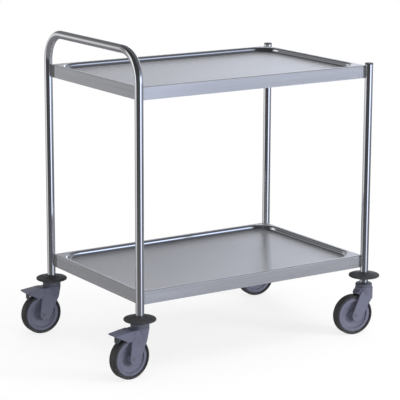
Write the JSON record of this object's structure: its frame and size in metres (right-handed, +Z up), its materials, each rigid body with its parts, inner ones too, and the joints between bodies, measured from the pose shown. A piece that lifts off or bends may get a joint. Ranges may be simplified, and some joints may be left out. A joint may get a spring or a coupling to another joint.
{
  "type": "tray clearing trolley",
  "caption": "Two-tier steel clearing trolley with recessed tray shelves, a bent-tube push handle, round corner bumpers and swivel castors, the handle-end ones with brake pedals.",
  "frame": {"origin": "on the floor, under the centre of the overall box", "axes": "+X from the push handle to the free end, +Y across the trolley away from the pictured long side, +Z up"},
  "size_m": [0.9585, 0.625, 0.9485],
  "materials": {
    "tube_steel": "polished stainless tube",
    "shelf_steel": "satin stainless sheet",
    "zinc_steel": "bright zinc plated",
    "grey_plastic": "fine grained moulded nylon",
    "cap_plastic": "fine grained moulded nylon",
    "dark_plastic": "matt moulded",
    "bumper_rubber": "matt non-marking rubber",
    "tyre_rubber": "smooth solid rubber"
  },
  "bodies": {
    "frame": {"handle_frame": "tube_steel", "upright_near": "tube_steel", "upright_far": "tube_steel", "end_plugs": "dark_plastic", "top_shelf": "shelf_steel", "bottom_shelf": "shelf_steel", "stem_expanders": "dark_plastic", "bumper_handle_near": "bumper_rubber", "stem_handle_near": "zinc_steel", "swivel_cap_handle_near": "cap_plastic", "bumper_handle_far": "bumper_rubber", "stem_handle_far": "zinc_steel", "swivel_cap_handle_far": "cap_plastic", "bumper_free_near": "bumper_rubber", "stem_free_near": "zinc_steel", "swivel_cap_free_near": "cap_plastic", "bumper_free_far": "bumper_rubber", "stem_free_far": "zinc_steel", "swivel_cap_free_far": "cap_plastic"},
    "castor_handle_near": {"fork_handle_near": "grey_plastic", "axle_handle_near": "zinc_steel", "axle_sleeve_handle_near": "zinc_steel", "axle_caps_handle_near": "cap_plastic", "pivot_pin_handle_near": "zinc_steel"},
    "wheel_handle_near": {"wheel_core_handle_near": "grey_plastic", "tyre_handle_near": "tyre_rubber"},
    "pedal_handle_near": {"pedal_handle_near": "grey_plastic", "brake_shoe_handle_near": "dark_plastic", "shoe_pin_handle_near": "zinc_steel"},
    "castor_handle_far": {"fork_handle_far": "grey_plastic", "axle_handle_far": "zinc_steel", "axle_sleeve_handle_far": "zinc_steel", "axle_caps_handle_far": "cap_plastic", "pivot_pin_handle_far": "zinc_steel"},
    "wheel_handle_far": {"wheel_core_handle_far": "grey_plastic", "tyre_handle_far": "tyre_rubber"},
    "pedal_handle_far": {"pedal_handle_far": "grey_plastic", "brake_shoe_handle_far": "dark_plastic", "shoe_pin_handle_far": "zinc_steel"},
    "castor_free_near": {"fork_free_near": "grey_plastic", "axle_free_near": "zinc_steel", "axle_sleeve_free_near": "zinc_steel", "axle_caps_free_near": "cap_plastic"},
    "wheel_free_near": {"wheel_core_free_near": "grey_plastic", "tyre_free_near": "tyre_rubber"},
    "castor_free_far": {"fork_free_far": "grey_plastic", "axle_free_far": "zinc_steel", "axle_sleeve_free_far": "zinc_steel", "axle_caps_free_far": "cap_plastic"},
    "wheel_free_far": {"wheel_core_free_far": "grey_plastic", "tyre_free_far": "tyre_rubber"}
  },
  "joints": [
    {"name": "swivel_handle_near", "type": "hinge", "parent": "frame", "child": "castor_handle_near", "pos_m": [-0.38025, -0.265, 0.14], "axis": [0, 0, 1], "continuous": true},
    {"name": "wheel_spin_handle_near", "type": "hinge", "parent": "castor_handle_near", "child": "wheel_handle_near", "pos_m": [-0.41809, -0.26851, 0.0625], "axis": [-0.0924, 0.9957, 0], "continuous": true},
    {"name": "brake_pedal_handle_near", "type": "hinge", "parent": "castor_handle_near", "child": "pedal_handle_near", "pos_m": [-0.43004, -0.26962, 0.134], "axis": [0.0924, -0.9957, 0], "range_deg": [0, 8]},
    {"name": "swivel_handle_far", "type": "hinge", "parent": "frame", "child": "castor_handle_far", "pos_m": [-0.38025, 0.265, 0.14], "axis": [0, 0, 1], "continuous": true},
    {"name": "wheel_spin_handle_far", "type": "hinge", "parent": "castor_handle_far", "child": "wheel_handle_far", "pos_m": [-0.41819, 0.26712, 0.0625], "axis": [0.0558, 0.9984, 0], "continuous": true},
    {"name": "brake_pedal_handle_far", "type": "hinge", "parent": "castor_handle_far", "child": "pedal_handle_far", "pos_m": [-0.43017, 0.26779, 0.134], "axis": [-0.0558, -0.9984, 0], "range_deg": [0, 8]},
    {"name": "swivel_free_near", "type": "hinge", "parent": "frame", "child": "castor_free_near", "pos_m": [0.42975, -0.265, 0.14], "axis": [0, 0, 1], "continuous": true},
    {"name": "wheel_spin_free_near", "type": "hinge", "parent": "castor_free_near", "child": "wheel_free_near", "pos_m": [0.39218, -0.25932, 0.0625], "axis": [0.1495, 0.9888, 0], "continuous": true},
    {"name": "swivel_free_far", "type": "hinge", "parent": "frame", "child": "castor_free_far", "pos_m": [0.42975, 0.265, 0.14], "axis": [0, 0, 1], "continuous": true},
    {"name": "wheel_spin_free_far", "type": "hinge", "parent": "castor_free_far", "child": "wheel_free_far", "pos_m": [0.39206, 0.26983, 0.0625], "axis": [0.1271, 0.9919, 0], "continuous": true}
  ]
}
